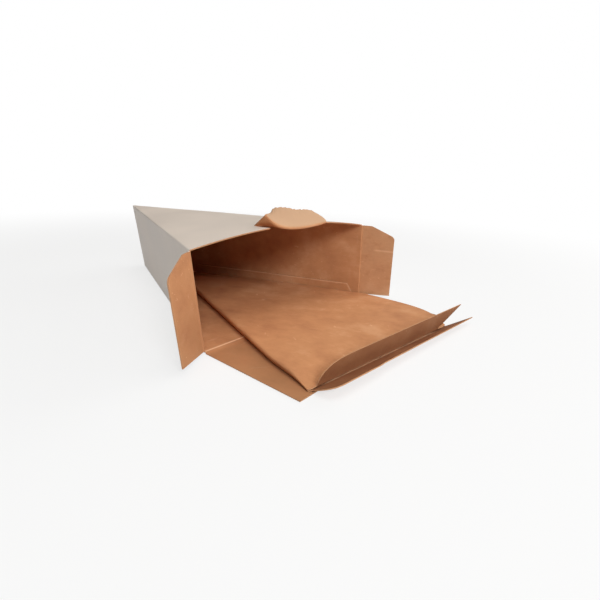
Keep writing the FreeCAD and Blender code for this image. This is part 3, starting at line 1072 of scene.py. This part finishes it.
def pale_floor(finish):
    """The floor: matt and pale, with a white glow for the camera and for reflections.

    Near the box the glow is weak enough to keep the shadow, and far from it the floor is
    plain white.
    """
    weakest, near, far = 0.66, 0.18, 0.55
    nodes = Nodes(bpy.data.materials.new("pale_floor"))
    diffuse = nodes.add("ShaderNodeBsdfDiffuse", {}, {"Color": (*finish.floor, 1.0)})
    glow = nodes.add("ShaderNodeEmission", {}, {"Color": WHITE, "Strength": 1.0})
    seen, mirrored, through = (
        nodes.add("ShaderNodeLightPath", output=f"Is {kind} Ray")
        for kind in ("Camera", "Glossy", "Transmission"))
    direct = seen.maths("MAXIMUM", seen, mirrored)
    direct = direct.maths("MAXIMUM", direct, through)
    point = nodes.add("ShaderNodeTexCoord", output="Object")
    reach = nodes.add("ShaderNodeVectorMath", {"operation": "LENGTH"}, (point,), "Value")
    amount = weakest + reach.rise(near, far) * (1 - weakest)
    return nodes.end(nodes.add("ShaderNodeMixShader", {}, (direct * amount, diffuse, glow)))


def liner_outside(finish):
    """The plain side of the liner's sheet that faces out of its fold."""
    return kraft_card(finish, "liner_outside", finish.outside_shade)


def liner_inside(finish):
    """The liner's sheet on the side that faces into its fold, darkened as painted shade."""
    return kraft_card(finish, "liner_inside", finish.inside_shade)


def card_finishes(*makers):
    """The named faces of the card, each made once."""
    finish = bpy.context.scene.box_finish
    return [bpy.data.materials.get(make.__name__) or make(finish) for make in makers]


def carton_settings():
    """The carton's plan, and the settings of its tear and its dust flaps."""
    scene = bpy.context.scene
    return CartonPlan(scene.box_carton, scene.box_tear), scene.box_tear, scene.box_flaps


# Operators

class BOX_OT_carton(bpy.types.Operator):
    """Fold the carton: floor, walls, bowed top, bottom flap, glue strip and torn flap"""
    bl_idname = "slice_box.carton"
    bl_label = "Carton"

    def execute(self, context):
        plan, tear, _ = carton_settings()
        patches = [
            tube_patch(plan, tear), bottom_flap_patch(plan),
            torn_flap_patch(plan, tear), glue_strip_patch(plan)]
        finishes = card_finishes(coated_card, kraft_card, cut_edge)
        piece = card_piece("carton_sheet", patches, plan.sizes.card, finishes, plan.sizes.dents)
        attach(piece, "carton")
        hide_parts("carton")
        return {"FINISHED"}


class BOX_OT_dust_flaps(bpy.types.Operator):
    """Cut the two dust flaps and hang them open on their folds"""
    bl_idname = "slice_box.dust_flaps"
    bl_label = "Dust flaps"

    def execute(self, context):
        plan, _, flaps = carton_settings()
        finishes = card_finishes(coated_card, kraft_card, cut_edge)
        openings = {"left": (-1, flaps.left_opening), "right": (1, flaps.right_opening)}
        for word, (side, opening) in openings.items():
            patch = dust_flap_patch(plan, flaps, side, opening)
            piece = card_piece(word + "_flap_card", [patch], plan.sizes.card, finishes)
            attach(piece, word + "_flap")
            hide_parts(word + "_dust_flap")
        return {"FINISHED"}


class BOX_OT_flap_creases(bpy.types.Operator):
    """Press the two creases between the side walls and the dust flaps"""
    bl_idname = "slice_box.flap_creases"
    bl_label = "Flap creases"

    def execute(self, context):
        plan, _, flaps = carton_settings()
        finishes = card_finishes(coated_card, kraft_card)
        for word, side in (("left", -1), ("right", 1)):
            crease = flap_crease(plan, flaps, side)
            piece = mesh_piece(word + "_flap_crease", *crease, finishes)
            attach(piece, "carton")
        return {"FINISHED"}


class BOX_OT_liner(bpy.types.Operator):
    """Fold the card liner: two leaves, the rounded fold and the two lips"""
    bl_idname = "slice_box.liner"
    bl_label = "Liner"

    def execute(self, context):
        plan, _, _ = carton_settings()
        liner = LinerPlan(context.scene.box_liner, plan)
        finishes = card_finishes(liner_outside, liner_inside, cut_edge)
        piece = card_piece("liner_card", liner_patches(liner), plan.sizes.card, finishes)
        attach(piece, "carton")
        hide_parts("card_liner")
        return {"FINISHED"}


# Each lamp's power setting, the length of its side, its place in metres and its tint
WARM, PLAIN, COOL = (1.0, 0.95, 0.89), (1.0, 0.985, 0.965), (0.93, 0.975, 1.0)
LAMPS = {
    "top_lamp": ("top_power", 1.0, (0.0, -0.25, 1.27), WARM),
    "camera_side_lamp": ("near_power", 0.45, (-0.45, -0.98, 0.68), COOL),
    "right_lamp": ("right_power", 1.0, (1.2, -0.2, 0.45), PLAIN),
    "front_lamp": ("front_power", 0.45, (-0.08, -1.08, 0.7), COOL),
    "front_right_lamp": ("side_power", 1.0, (0.7, -0.85, 0.75), PLAIN),
}


class BOX_OT_stage(bpy.types.Operator):
    """Set the floor, the lamps, the world and the camera"""
    bl_idname = "slice_box.stage"
    bl_label = "Stage"

    def execute(self, context):
        stage = context.scene.box_stage
        self.floor(context)
        for name, (setting, size, place, tint) in LAMPS.items():
            self.lamp(context, name, getattr(stage, setting), size, place, tint)
        self.world(context, stage.sky)
        self.camera(context, stage)
        context.scene.view_settings.view_transform = "Standard"
        return {"FINISHED"}

    def floor(self, context):
        """A disc just under the resting plane."""
        radius, drop, corners = 3.0, 0.2 * MM, 96
        turn = np.linspace(0, 2 * math.pi, corners + 1)[:-1]
        rim = np.stack([radius * np.cos(turn), radius * np.sin(turn), 0 * turn - drop], -1)
        mesh = bpy.data.meshes.new("floor")
        mesh.from_pydata(rim, [], [tuple(range(corners))])
        mesh.materials.append(pale_floor(context.scene.box_finish))
        floor = bpy.data.objects.new("floor", mesh)
        context.scene.collection.objects.link(floor)

    def lamp(self, context, name, watts, size, place, tint):
        """A square soft lamp that faces the carton."""
        light = bpy.data.lights.new(name, "AREA")
        light.energy = watts
        light.size = size
        light.color = tint
        lamp = bpy.data.objects.new(name, light)
        back = np.array(place) / np.linalg.norm(place)
        side = np.cross([0, 0, 1], back)
        side /= np.linalg.norm(side)
        axes = np.stack([side, np.cross(back, side), back], -1)
        lamp.matrix_world = Matrix.Translation(place) @ Matrix(axes.tolist()).to_4x4()
        context.scene.collection.objects.link(lamp)

    def world(self, context, strength):
        """An even, slightly cool sky that looks white where the camera sees it."""
        pale_blue = (0.95, 0.975, 1.0, 1.0)
        nodes = Nodes(bpy.data.worlds.new("studio"), "ShaderNodeOutputWorld")
        seen = nodes.add("ShaderNodeLightPath", output="Is Camera Ray")
        sky = nodes.add("ShaderNodeBackground", {}, (pale_blue, strength))
        white = nodes.add("ShaderNodeBackground", {}, (WHITE, 1.0))
        blend = nodes.add("ShaderNodeMixShader", {}, (seen, sky, white))
        context.scene.world = nodes.end(blend)

    def camera(self, context, stage):
        """The photograph's view: its place, turn, focal length and optical axis."""
        frame_px, focal_px, axis_px = 600.0, 368.32, (340.75, 354.18)
        lens = bpy.data.cameras.new("camera")
        lens.sensor_width = 36.0
        lens.lens = lens.sensor_width * focal_px / frame_px
        lens.shift_x = (frame_px / 2 - axis_px[0]) / frame_px
        lens.shift_y = (axis_px[1] - frame_px / 2) / frame_px
        lens.clip_start = 0.005
        yaw, pitch, roll = stage.yaw, stage.pitch, stage.roll
        forward = np.array([
            math.sin(yaw) * math.cos(pitch), math.cos(yaw) * math.cos(pitch), math.sin(pitch)])
        level = np.array([math.cos(yaw), -math.sin(yaw), 0])
        over = np.cross(level, forward)
        right = math.cos(roll) * level + math.sin(roll) * over
        up = -math.sin(roll) * level + math.cos(roll) * over
        axes = np.stack([right, up, -forward], -1)
        camera = bpy.data.objects.new("camera", lens)
        eye = (stage.eye_x, stage.eye_y, stage.eye_z)
        camera.matrix_world = Matrix.Translation(eye) @ Matrix(axes.tolist()).to_4x4()
        context.scene.collection.objects.link(camera)
        context.scene.camera = camera


class BOX_PT_panel(bpy.types.Panel):
    """The box's pieces, in the order in which they are made"""
    bl_idname = "BOX_PT_panel"
    bl_label = "Slice Box"
    bl_space_type = "VIEW_3D"
    bl_region_type = "UI"
    bl_category = "Slice Box"

    def draw(self, context):
        for operator in OPERATORS:
            self.layout.operator(operator.bl_idname)
        for group in GROUPS:
            box = self.layout.box()
            values = getattr(context.scene, group)
            for name in values.__annotations__:
                box.prop(values, name)


GROUPS = {
    "box_carton": CartonSizes,
    "box_tear": TornFlapSizes,
    "box_flaps": DustFlapSizes,
    "box_liner": LinerSizes,
    "box_finish": Finish,
    "box_stage": StageSettings,
}
OPERATORS = (BOX_OT_carton, BOX_OT_dust_flaps, BOX_OT_flap_creases, BOX_OT_liner, BOX_OT_stage)


def register():
    for kind in (*GROUPS.values(), *OPERATORS, BOX_PT_panel):
        bpy.utils.register_class(kind)
    for name, kind in GROUPS.items():
        setattr(bpy.types.Scene, name, PointerProperty(type=kind))


def unregister():
    for name in GROUPS:
        delattr(bpy.types.Scene, name)
    for kind in (BOX_PT_panel, *reversed(OPERATORS), *reversed(GROUPS.values())):
        bpy.utils.unregister_class(kind)


def main():
    register()
    bpy.ops.slice_box.carton()
    bpy.ops.slice_box.dust_flaps()
    bpy.ops.slice_box.flap_creases()
    bpy.ops.slice_box.liner()
    bpy.ops.slice_box.stage()


if __name__ == "__main__":
    main()
